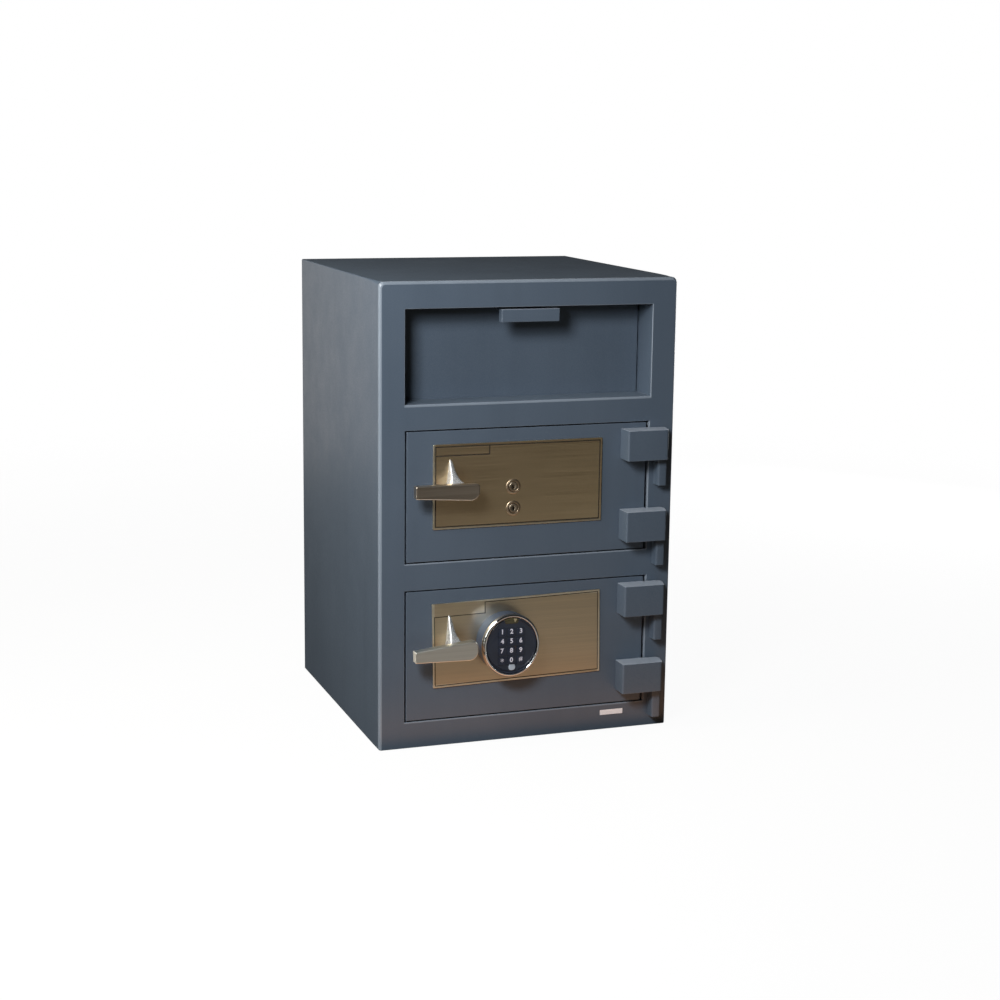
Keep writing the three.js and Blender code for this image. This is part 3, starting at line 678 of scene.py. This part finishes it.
cabinet_shell()
keep_cad("partition_shelf", PAINT_IN, 0.4)
keep_cad("drawer_baffle", PAINT_IN, 0.3)
for i in (1, 2, 3, 4):
    keep_cad(f"hinge_knuckle_{i}", PAINT_BLOCK_LIT_TOPS, 1.4, 3)
    keep_cad(f"hinge_block_{i}", PAINT_BLOCK_LIT_TOPS, 1.8, 3)
for side in ("upper", "lower"):
    keep_cad(f"{side}_dead_bar", PAINT_IN, 0.6)
    keep_cad(f"{side}_bolt_guide", PAINT_IN, 0.6)
    keep_cad(f"{side}_lock_case", ZINC, 1.2, 3)
    keep_cad(f"{side}_handle_spindle", STEEL, 0.3)
    keep_cad(f"{side}_boltwork", STEEL, 0.5)
keep_cad("drawer_panel", PAINT, 0.8, 3)
keep_cad("drawer_pull", PAINT_BLOCK_LIT_TOPS, 1.6, 3)
keep_cad("drawer_bin", STEEL, 0.3)
keep_cad("drawer_rod", STEEL, 0.4)
keep_cad("keypad_core", FACE)
for n in list("0123456789") + ["star", "hash"]:
    keep_cad(f"key_{n}", KEYS, 0.6, 3)


# ------------------------------------------------------------------ doors
def door_plate(name, win, right, holes, body, node):
    bm = prism(fillet(rect(win[0] + 3.0, right, win[2] + 2.2, win[3] - 2.2), 1.6, 4), YF, YFB)
    round_rim(bm, YF, 0.8, 3)
    ob = to_object(name, bm)
    ob.data.materials.append(PAINT)
    cutters = []
    for x, z, r in holes:
        c = to_object("hole", turned([(0, YF - 3), (r, YF - 3), (r, YFB + 3), (0, YFB + 3)], x, z, 48))
        c.data.materials.append(PAINT)
        cutters.append(c)
    carve(ob, cutters)
    piece(ob, body, "body_paint", [PAINT], node)
    ob.data.set_sharp_from_angle(angle=math.radians(38))
    even_normals(ob, sharp=True)


door_plate("upper_door_panel", UPPER_WIN, 204.9, [(AXIS_X, UPPER_AXIS, 6.6)] + [(x, z, 8.1) for x, z in PLUGS],
           "upper_door", "upper_door_plate")
door_plate("lower_door_panel", LOWER_WIN, 206.7, [(AXIS_X, LOWER_AXIS, 6.6)], "lower_door", "lower_door_plate")


# ------------------------------------------------------------------ trim plates with engraved lines
def trim_plate(name, t, lines, holes, body, node, bronze, lean=0.0):
    """lean: degrees that the plate's right end is raised."""
    about = Vector(((t[0] + t[1]) / 2, 0, (t[2] + t[3]) / 2)) * MM

    def leant(bm):
        bmesh.ops.rotate(bm, cent=about, matrix=Matrix.Rotation(math.radians(-lean), 3, "Y"), verts=bm.verts)
        return bm

    bm = prism(fillet(rect(*t), 1.2, 4), TRIM_Y0, TRIM_Y1)
    round_rim(bm, TRIM_Y0, 0.45, 2)
    ob = to_object(name, leant(bm))
    ob.data.materials.append(bronze)
    cutters = []
    for x0, x1, z0, z1 in lines:
        c = to_object("line", leant(block(x0, x1, TRIM_Y0 - 1, TRIM_Y0 + 0.35, z0, z1)))
        c.data.materials.append(ENAMEL)
        cutters.append(c)
    for x, z, r in holes:
        c = to_object("hole", turned([(0, TRIM_Y0 - 2), (r, TRIM_Y0 - 2), (r, TRIM_Y1 + 2), (0, TRIM_Y1 + 2)], x, z, 48))
        c.data.materials.append(bronze)
        cutters.append(c)
    carve(ob, cutters)
    piece(ob, body, "trim_bronze", [bronze, ENAMEL], node)
    even_normals(ob)
    return ob


def frame_lines(t, inset, width, gap=None):
    """Four lines inside a plate's edge. gap leaves out the upper left corner: (x, z)."""
    x0, x1, z0, z1 = t[0] + inset, t[1] - inset, t[2] + inset, t[3] - inset
    if gap is None:
        gap = (x0, z1)
    return [(x0, x1, z0, z0 + width), (x1 - width, x1, z0, z1), (gap[0], x1, z1 - width, z1), (x0, x0 + width, z0, gap[1])]


LINE, BROAD = 1.45, 2.1
upper_lines = frame_lines(UPPER_TRIM, 3.0, BROAD) + [(-161.5, -68.5, 482.0, 482.0 + BROAD), (-68.5 - BROAD, -68.5, 482.0, 498.6)]
lower_lines = frame_lines(LOWER_TRIM, 3.0, LINE, gap=(-72.6 - LINE, 220.9)) + [
    (-161.0, -72.6, 219.8, 219.8 + LINE), (-72.6 - LINE, -72.6, 219.8, 239.8)]
trim_plate("upper_plate", UPPER_TRIM, upper_lines,
           [(AXIS_X, UPPER_AXIS, 6.6)] + [(x, z, 8.1) for x, z in PLUGS], "upper_door", "upper_trim_plate", UPPER_PLATE_SHADED)
trim_plate("lower_plate", LOWER_TRIM, lower_lines, [(AXIS_X, LOWER_AXIS, 6.6)], "lower_door", "lower_trim_plate", LOWER_PLATE_LIT, 1.1)


# ------------------------------------------------------------------ levers and their polished shanks
def lever(name, z, body, node, metal, foot, head, top, corner, lit_end_painted, droop=0.0):
    """Tapered bar with a rounded heel. foot and head: its free end below and above the axis. top: its heel above it.
    droop: degrees that its free end hangs below level."""
    x0, x1 = AXIS_X - 68.6, AXIS_X + 38.0
    outline = fillet([(x0, z - foot), (x1, z - 15.0), (x1, z + top), (x0, z + head)], [2.0, 15.0, corner, 2.0], 10)
    bm = prism(outline, -298.97, -285.0)
    round_rim(bm, -298.97, 3.0, 5)
    round_rim(bm, -285.0, 1.2, 3)
    if droop:
        bmesh.ops.rotate(bm, cent=Vector((AXIS_X, 0, z)) * MM, matrix=Matrix.Rotation(math.radians(-droop), 3, "Y"), verts=bm.verts)
    bm.normal_update()
    # down-facing front bevels get a painted reflection of the floor; the left end, when asked, gets painted light
    for f in bm.faces:
        if (f.normal.z < -0.35 and f.normal.y < -0.15) or (lit_end_painted and f.normal.x < -0.5):
            f.material_index = 1
    ob = to_object(name, bm)
    piece(ob, body, "lever_satin", [metal, SATIN_EDGE_REFLECTION], node)
    even_normals(ob)
    return ob


def shank(name, z, reach, body, node):
    """A flared root: drawn up to a thin point on the plate, narrowing out to the lever."""
    y0, y1, rings, around = -256.6, -284.7, 28, 160
    bm = bmesh.new()
    rows = []
    for i in range(rings + 1):
        s = i / rings
        row = []
        for k in range(around):
            a = 2 * math.pi * k / around
            c, q = math.cos(a), math.sin(a)
            rx = 17 + 16 * s ** 1.6 if c > 0 else 6.0 + 3.5 * s
            rz = 16.5 - 5 * s
            ridge = max(0.0, q) ** (4 if c > 0 else 6)
            tip = reach * (1 - s) ** 1.5 * ridge
            row.append(bm.verts.new(((AXIS_X + rx * c + 0.4 * (1 - s) * ridge) * MM, (y0 + (y1 - y0) * s) * MM, (z + rz * q + tip) * MM)))
        rows.append(row)
    for a, b in zip(rows, rows[1:]):
        for k in range(around):
            j = (k + 1) % around
            bm.faces.new((a[k], a[j], b[j], b[k]))
    bm.faces.new(rows[0])
    bm.faces.new(list(reversed(rows[-1])))
    ob = to_object(name, bm)
    return piece(ob, body, "polished_chrome", [SHANK], node)


lever("upper_lever", UPPER_AXIS, "upper_handle", "upper_handle_lever", SATIN_UP_SHADED, 9.6, 11.0, 12.8, 5.0, False, -1.0)
lever("lower_lever", LOWER_AXIS, "lower_handle", "lower_handle_lever", SATIN_LOW_LIT, 9.6, 9.0, 18.4, 9.0, True, 1.6)
shank("upper_shank", UPPER_AXIS, 30.0, "upper_handle", "upper_handle_shank")
shank("lower_shank", LOWER_AXIS, 37.0, "lower_handle", "lower_handle_shank")


# ------------------------------------------------------------------ key locks
def key_lock(i, x, z):
    y = TRIM_Y0
    rose = to_object(f"key_rose_{i}", turned([(8.2, y + 0.1), (8.2, y - 0.7), (8.7, y - 1.1), (9.8, y - 1.1), (11.4, y - 0.75),
                                              (12.3, y - 0.3), (12.5, y), (12.5, y + 0.1)], x, z, 72))
    piece(rose, "upper_door", "trim_bronze", [BRONZE])
    even_normals(rose)
    plug = to_object(f"key_plug_face_{i}", turned(
        [(0, y - 1.1), (4.6, y - 1.1), (5.4, y - 1.3), (6.6, y - 1.3), (7.2, y - 1.05), (7.6, y - 0.4), (7.6, YFB - 0.3), (0, YFB - 0.3)], x, z, 72))
    plug.data.materials.append(PLUG)
    key = to_object("key", prism(fillet(rect(x - 0.9, x + 0.9, z - 4.2, z + 4.2), 0.4, 3), y - 3, y + 7.5))
    key.data.materials.append(PLUG)
    carve(plug, [key])
    piece(plug, f"key_lock_{i}", "polished_chrome", [PLUG], f"key_plug_{i}")
    even_normals(plug)


for i, (x, z) in enumerate(PLUGS, 1):
    key_lock(i, x, z)


# ------------------------------------------------------------------ keypad lock
def keypad():
    yb, yr = PAD_BASE_Y, PAD_RIM_Y
    ri, ro, tall = 43.9, 50.0, 1.088
    profile = [(ri, yb), (ri, yr + 1.2)]
    profile += [(ri + 1.2 - 1.2 * math.cos(t), yr + 1.2 - 1.2 * math.sin(t)) for t in (0.4, 0.8, 1.2, math.pi / 2)]
    profile += [(ri + 1.9, yr)]
    # the shoulder: a quarter ellipse from the rim out to the drum
    a, b = ro - 0.25 - (ri + 1.9), 9.0
    profile += [(ri + 1.9 + a * math.sin(t), yr + b - b * math.cos(t)) for t in [math.pi / 2 * k / 10 for k in range(1, 11)]]
    profile += [(ro - 0.2, yr + 16), (ro, yb - 2.2), (ro, yb - 1.0), (ro - 0.6, yb - 0.5), (ro, yb)]
    bm = turned(profile, PAD_X, PAD_Z, 144)
    for v in bm.verts:
        front = min(1.0, max(0.0, ((yr + 11.0) - v.co.y / MM) / 11.0))
        v.co.z = PAD_Z * MM + (v.co.z - PAD_Z * MM) * (1 + (tall - 1) * front * (2 - front))
    ring = to_object("lock_ring", bm)
    ring.data.materials.append(CHROME)
    ring.data.materials.append(NICKEL)
    for p in ring.data.polygons:
        if p.center.y > (yr + 8.0) * MM and math.hypot(p.center.x / MM - PAD_X, p.center.z / MM - PAD_Z) > 48:
            p.material_index = 1
    piece(ring, "lock_ring", "polished_chrome", [CHROME, NICKEL], "keypad_ring")
    even_normals(ring)

    # a smoked indicator window at the top of the face, with a small metal wedge in it
    y = PAD_FACE_Y
    cx, cz = PAD_X, PAD_Z
    outline = fillet([(cx - 10.0, cz + 36.4), (cx + 10.0, cz + 36.4), (cx + 13.4, cz + 43.4), (cx, cz + 46.6), (cx - 13.4, cz + 43.4)],
                     [1.5, 1.5, 1.5, 8.0, 1.5], 5)
    bm = prism(outline, y - 0.9, y + 0.3)
    round_rim(bm, y - 0.9, 0.5, 3)
    window = to_object("status_window", bm)
    piece(window, "lock_ring", "keypad_face", [SMOKED])
    even_normals(window)
    bm = prism(fillet([(cx + 3.0, cz + 45.0), (cx + 5.6, cz + 38.2), (cx + 9.4, cz + 44.0)], 0.6, 4), y - 1.5, y - 0.6)
    round_rim(bm, y - 1.5, 0.35, 2)
    wedge = to_object("status_wedge", bm)
    piece(wedge, "lock_ring", "polished_chrome", [GOLD])
    even_normals(wedge)

    # plain disc near the foot of the face
    disc = to_object("plain_disc", turned([(0, y - 0.75), (5.0, y - 0.75), (5.6, y - 0.55), (5.9, y - 0.1), (5.9, y + 0.3), (0, y + 0.3)],
                                          cx + 1.4, cz - 36.8, 64))
    piece(disc, "lower_door", "polished_chrome", [DISC])
    even_normals(disc)

    # dark surround between the round face and the ring, turning with the ring
    around, bm = 144, bmesh.new()
    rows = [[bm.verts.new(((cx + rx * math.cos(2 * math.pi * k / around)) * MM, (y + dy) * MM,
                           (cz + rz * math.sin(2 * math.pi * k / around)) * MM)) for k in range(around)]
            for rx, rz, dy in ((43.55, 43.55, 0.45), (44.4, 48.3, 0.45), (44.4, 48.3, 1.6), (43.55, 43.55, 1.6))]
    for a, b in zip(rows, rows[1:] + rows[:1]):
        for k in range(around):
            j = (k + 1) % around
            bm.faces.new((a[k], a[j], b[j], b[k]))
    surround = to_object("face_surround", bm)
    piece(surround, "lock_ring", "keypad_face", [FACE])
    even_normals(surround)

    # raised rim line inside the ring
    lip = to_object("face_lip", turned([(41.6, y + 0.3), (41.6, y - 0.5), (42.1, y - 0.9), (42.7, y - 0.9), (43.1, y - 0.5), (43.1, y + 0.3)],
                                       cx, cz, 120))
    piece(lip, "lower_door", "keypad_face", [FACE])
    even_normals(lip)


keypad()

ROWS = ["123", "456", "789", "*0#"]
BODY_OF = {"*": "star", "#": "hash"}


def numeral(sign, x, z):
    curve = bpy.data.curves.new("numeral", "FONT")
    curve.body = sign
    curve.size = (11.0 if sign != "*" else 14.0) * MM
    curve.align_x = "CENTER"
    curve.align_y = "CENTER"
    curve.extrude = 0.05 * MM
    curve.offset = (0.05 if sign in "*#" else 0.26) * MM
    curve.resolution_u = 6
    tmp = bpy.data.objects.new("numeral_tmp", curve)
    scene.collection.objects.link(tmp)
    dg = bpy.context.evaluated_depsgraph_get()
    me = bpy.data.meshes.new_from_object(tmp.evaluated_get(dg))
    bpy.data.objects.remove(tmp)
    xs = [v.co.x for v in me.vertices]
    ys = [v.co.y for v in me.vertices]
    mx, my = (min(xs) + max(xs)) / 2, (min(ys) + max(ys)) / 2
    # letters lie in X and Y; stand them up on the key's front
    for v in me.vertices:
        px, py, pz = v.co
        v.co = Vector((x * MM + (px - mx), (PAD_FACE_Y - 1.3) * MM - pz - 0.03 * MM, (z + 1.9) * MM + (py - my)))
    name = BODY_OF.get(sign, sign)
    ob = bpy.data.objects.new(f"numeral_{name}", me)
    scene.collection.objects.link(ob)
    me.materials.clear()
    piece(ob, f"button_{name}", "keypad_keys", [NUMERAL], smooth=False)


for row, signs in enumerate(ROWS):
    for col, sign in enumerate(signs):
        numeral(sign, PAD_X + (col - 1) * 16.0, PAD_Z + (1.5 - row) * 16.0 - 2.0)


# ------------------------------------------------------------------ blank label on the bottom rail
def label():
    bm = prism(fillet(rect(133.5, 174.8, 25.4, 34.0), 0.6, 3), YF - 0.25, YF - 0.01)
    ob = to_object("blank_label", bm)
    piece(ob, "cabinet", "body_paint", [LABEL], smooth=False)


label()


# ------------------------------------------------------------------ floor, world and lights
def floor():
    """A plain pale floor that fades into the white around it and glows a little, so that only a soft shadow
    shows. What it would throw back at the safe comes from the world below instead."""
    bm = bmesh.new()
    bmesh.ops.create_circle(bm, cap_ends=True, segments=96, radius=FLOOR_R)
    ob = to_object("floor", bm)
    ob.location.z = -0.0006
    f = Finish("floor")
    f.set(color=f.mix(f.spread(f.noise(2.0, 3.0), 0.3, 0.7), (0.90, 0.90, 0.90), (0.88, 0.88, 0.88)), rough=0.9, specular=0.0)
    out = next(n for n in f.tree.nodes if n.type == "OUTPUT_MATERIAL")
    glow = f.new("ShaderNodeEmission")
    glow.inputs["Color"].default_value = (1.0, 1.0, 1.0, 1.0)
    glow.inputs["Strength"].default_value = 1.0
    pale = f.new("ShaderNodeMixShader")
    pale.inputs[0].default_value = FLOOR_GLOW
    f.link(f.shader.outputs[0], pale.inputs[1])
    f.link(glow.outputs[0], pale.inputs[2])
    length = f.new("ShaderNodeVectorMath", operation="LENGTH")
    f.link(f.coords.outputs["Object"], length.inputs[0])
    fade = f.spread(length.outputs["Value"], FLOOR_R * 0.28, FLOOR_R * 0.96, smooth=True)
    clear = f.new("ShaderNodeBsdfTransparent")
    edge = f.new("ShaderNodeMixShader")
    f.link(fade, edge.inputs[0])
    f.link(pale.outputs[0], edge.inputs[1])
    f.link(clear.outputs[0], edge.inputs[2])
    f.link(edge.outputs[0], out.inputs["Surface"])
    ob.data.materials.append(f.material)
    ob.visible_diffuse = False
    ob.visible_glossy = False


def world():
    """White behind the safe for the camera. As light it is dim, in bands from straight down to straight up."""
    w = bpy.data.worlds.new("studio")
    scene.world = w
    w.use_nodes = True
    t = w.node_tree
    out = next(n for n in t.nodes if n.type == "OUTPUT_WORLD")
    seen = next(n for n in t.nodes if n.type == "BACKGROUND")
    seen.inputs["Color"].default_value = (1.0, 1.0, 1.0, 1.0)
    seen.inputs["Strength"].default_value = 1.0
    light = t.nodes.new("ShaderNodeBackground")
    coords = t.nodes.new("ShaderNodeTexCoord")
    sep = t.nodes.new("ShaderNodeSeparateXYZ")
    t.links.new(coords.outputs["Generated"], sep.inputs["Vector"])
    height = t.nodes.new("ShaderNodeMapRange")
    height.inputs["From Min"].default_value = -1.0
    t.links.new(sep.outputs["Z"], height.inputs["Value"])
    ramp = t.nodes.new("ShaderNodeValToRGB")
    stops = ramp.color_ramp.elements
    stops[0].position = (WORLD[0][0] + 1) / 2
    stops[0].color = (*WORLD[0][1], 1.0)
    stops[1].position = (WORLD[-1][0] + 1) / 2
    stops[1].color = (*WORLD[-1][1], 1.0)
    for z, color in WORLD[1:-1]:
        stops.new((z + 1) / 2).color = (*color, 1.0)
    t.links.new(height.outputs["Result"], ramp.inputs["Fac"])
    t.links.new(ramp.outputs["Color"], light.inputs["Color"])
    light.inputs["Strength"].default_value = 1.0
    path = t.nodes.new("ShaderNodeLightPath")
    mix = t.nodes.new("ShaderNodeMixShader")
    t.links.new(path.outputs["Is Camera Ray"], mix.inputs[0])
    t.links.new(light.outputs["Background"], mix.inputs[1])
    t.links.new(seen.outputs["Background"], mix.inputs[2])
    t.links.new(mix.outputs["Shader"], out.inputs["Surface"])


def softbox(name, azimuth, elevation, distance, aim, size, power, color=(1, 1, 1)):
    """A soft light in that direction from its aim. Azimuth 0 is the front, -90 the left side."""
    az, el = math.radians(azimuth), math.radians(elevation)
    data = bpy.data.lights.new(name, "AREA")
    data.shape = "RECTANGLE"
    data.size, data.size_y = size
    data.energy = power
    data.color = color
    ob = bpy.data.objects.new(name, data)
    scene.collection.objects.link(ob)
    aim = Vector(aim)
    ob.location = aim + Vector((math.sin(az) * math.cos(el), -math.cos(az) * math.cos(el), math.sin(el))) * distance
    ob.rotation_euler = (aim - ob.location).to_track_quat("-Z", "Y").to_euler()
    ob.visible_camera = False
    return ob


FLOOR_R, FLOOR_GLOW = 3.4, 0.95
WORLD = [(-1.0, (0.045, 0.034, 0.022)), (-0.4, (0.045, 0.034, 0.022)), (-0.05, (0.030, 0.025, 0.018)),
         (0.3, (0.020, 0.020, 0.020)), (1.0, (0.022, 0.020, 0.018))]
floor()
world()
softbox("key_low", -39, 22, 1.5, (-0.05, -0.25, 0.56), (0.40, 0.34), 11.8, (0.94, 0.97, 1.0))
softbox("key_high", -37, 31, 2.0, (-0.05, -0.25, 0.50), (0.50, 0.36), 20.5, (0.96, 0.985, 1.0))
softbox("left_low", -80, 12, 1.6, (-0.05, -0.28, 0.50), (0.45, 0.80), 6.3, (1.0, 1.0, 0.95))
softbox("left_high", -80, 34, 1.5, (-0.05, -0.28, 0.55), (0.45, 0.60), 6.8, (1.0, 0.99, 0.95))
softbox("left_top", -86, 48, 1.5, (-0.25, -0.05, 0.60), (0.5, 0.6), 10.8, (1.0, 0.90, 0.76))
softbox("far_left_wall", -166, 0.5, 2.35, (-0.25, 0.0, 0.62), (1.5, 1.24), 3.3, (1.0, 0.955, 0.935))
softbox("floor_glow", 0, -90, 0.997, (0.2, -0.90, 1.0), (1.0, 0.8), 0.72, (1.0, 0.99, 0.96))
softbox("foot_glow", 0, -90, 0.997, (0.0, -0.36, 1.0), (0.66, 0.14), 0.28, (1.0, 0.53, 0.30))
softbox("right_back", 128, 7, 2.4, (0.05, 0.05, 0.40), (1.3, 1.1), 30.0, (0.97, 0.985, 1.0))

bpy.context.view_layer.update()
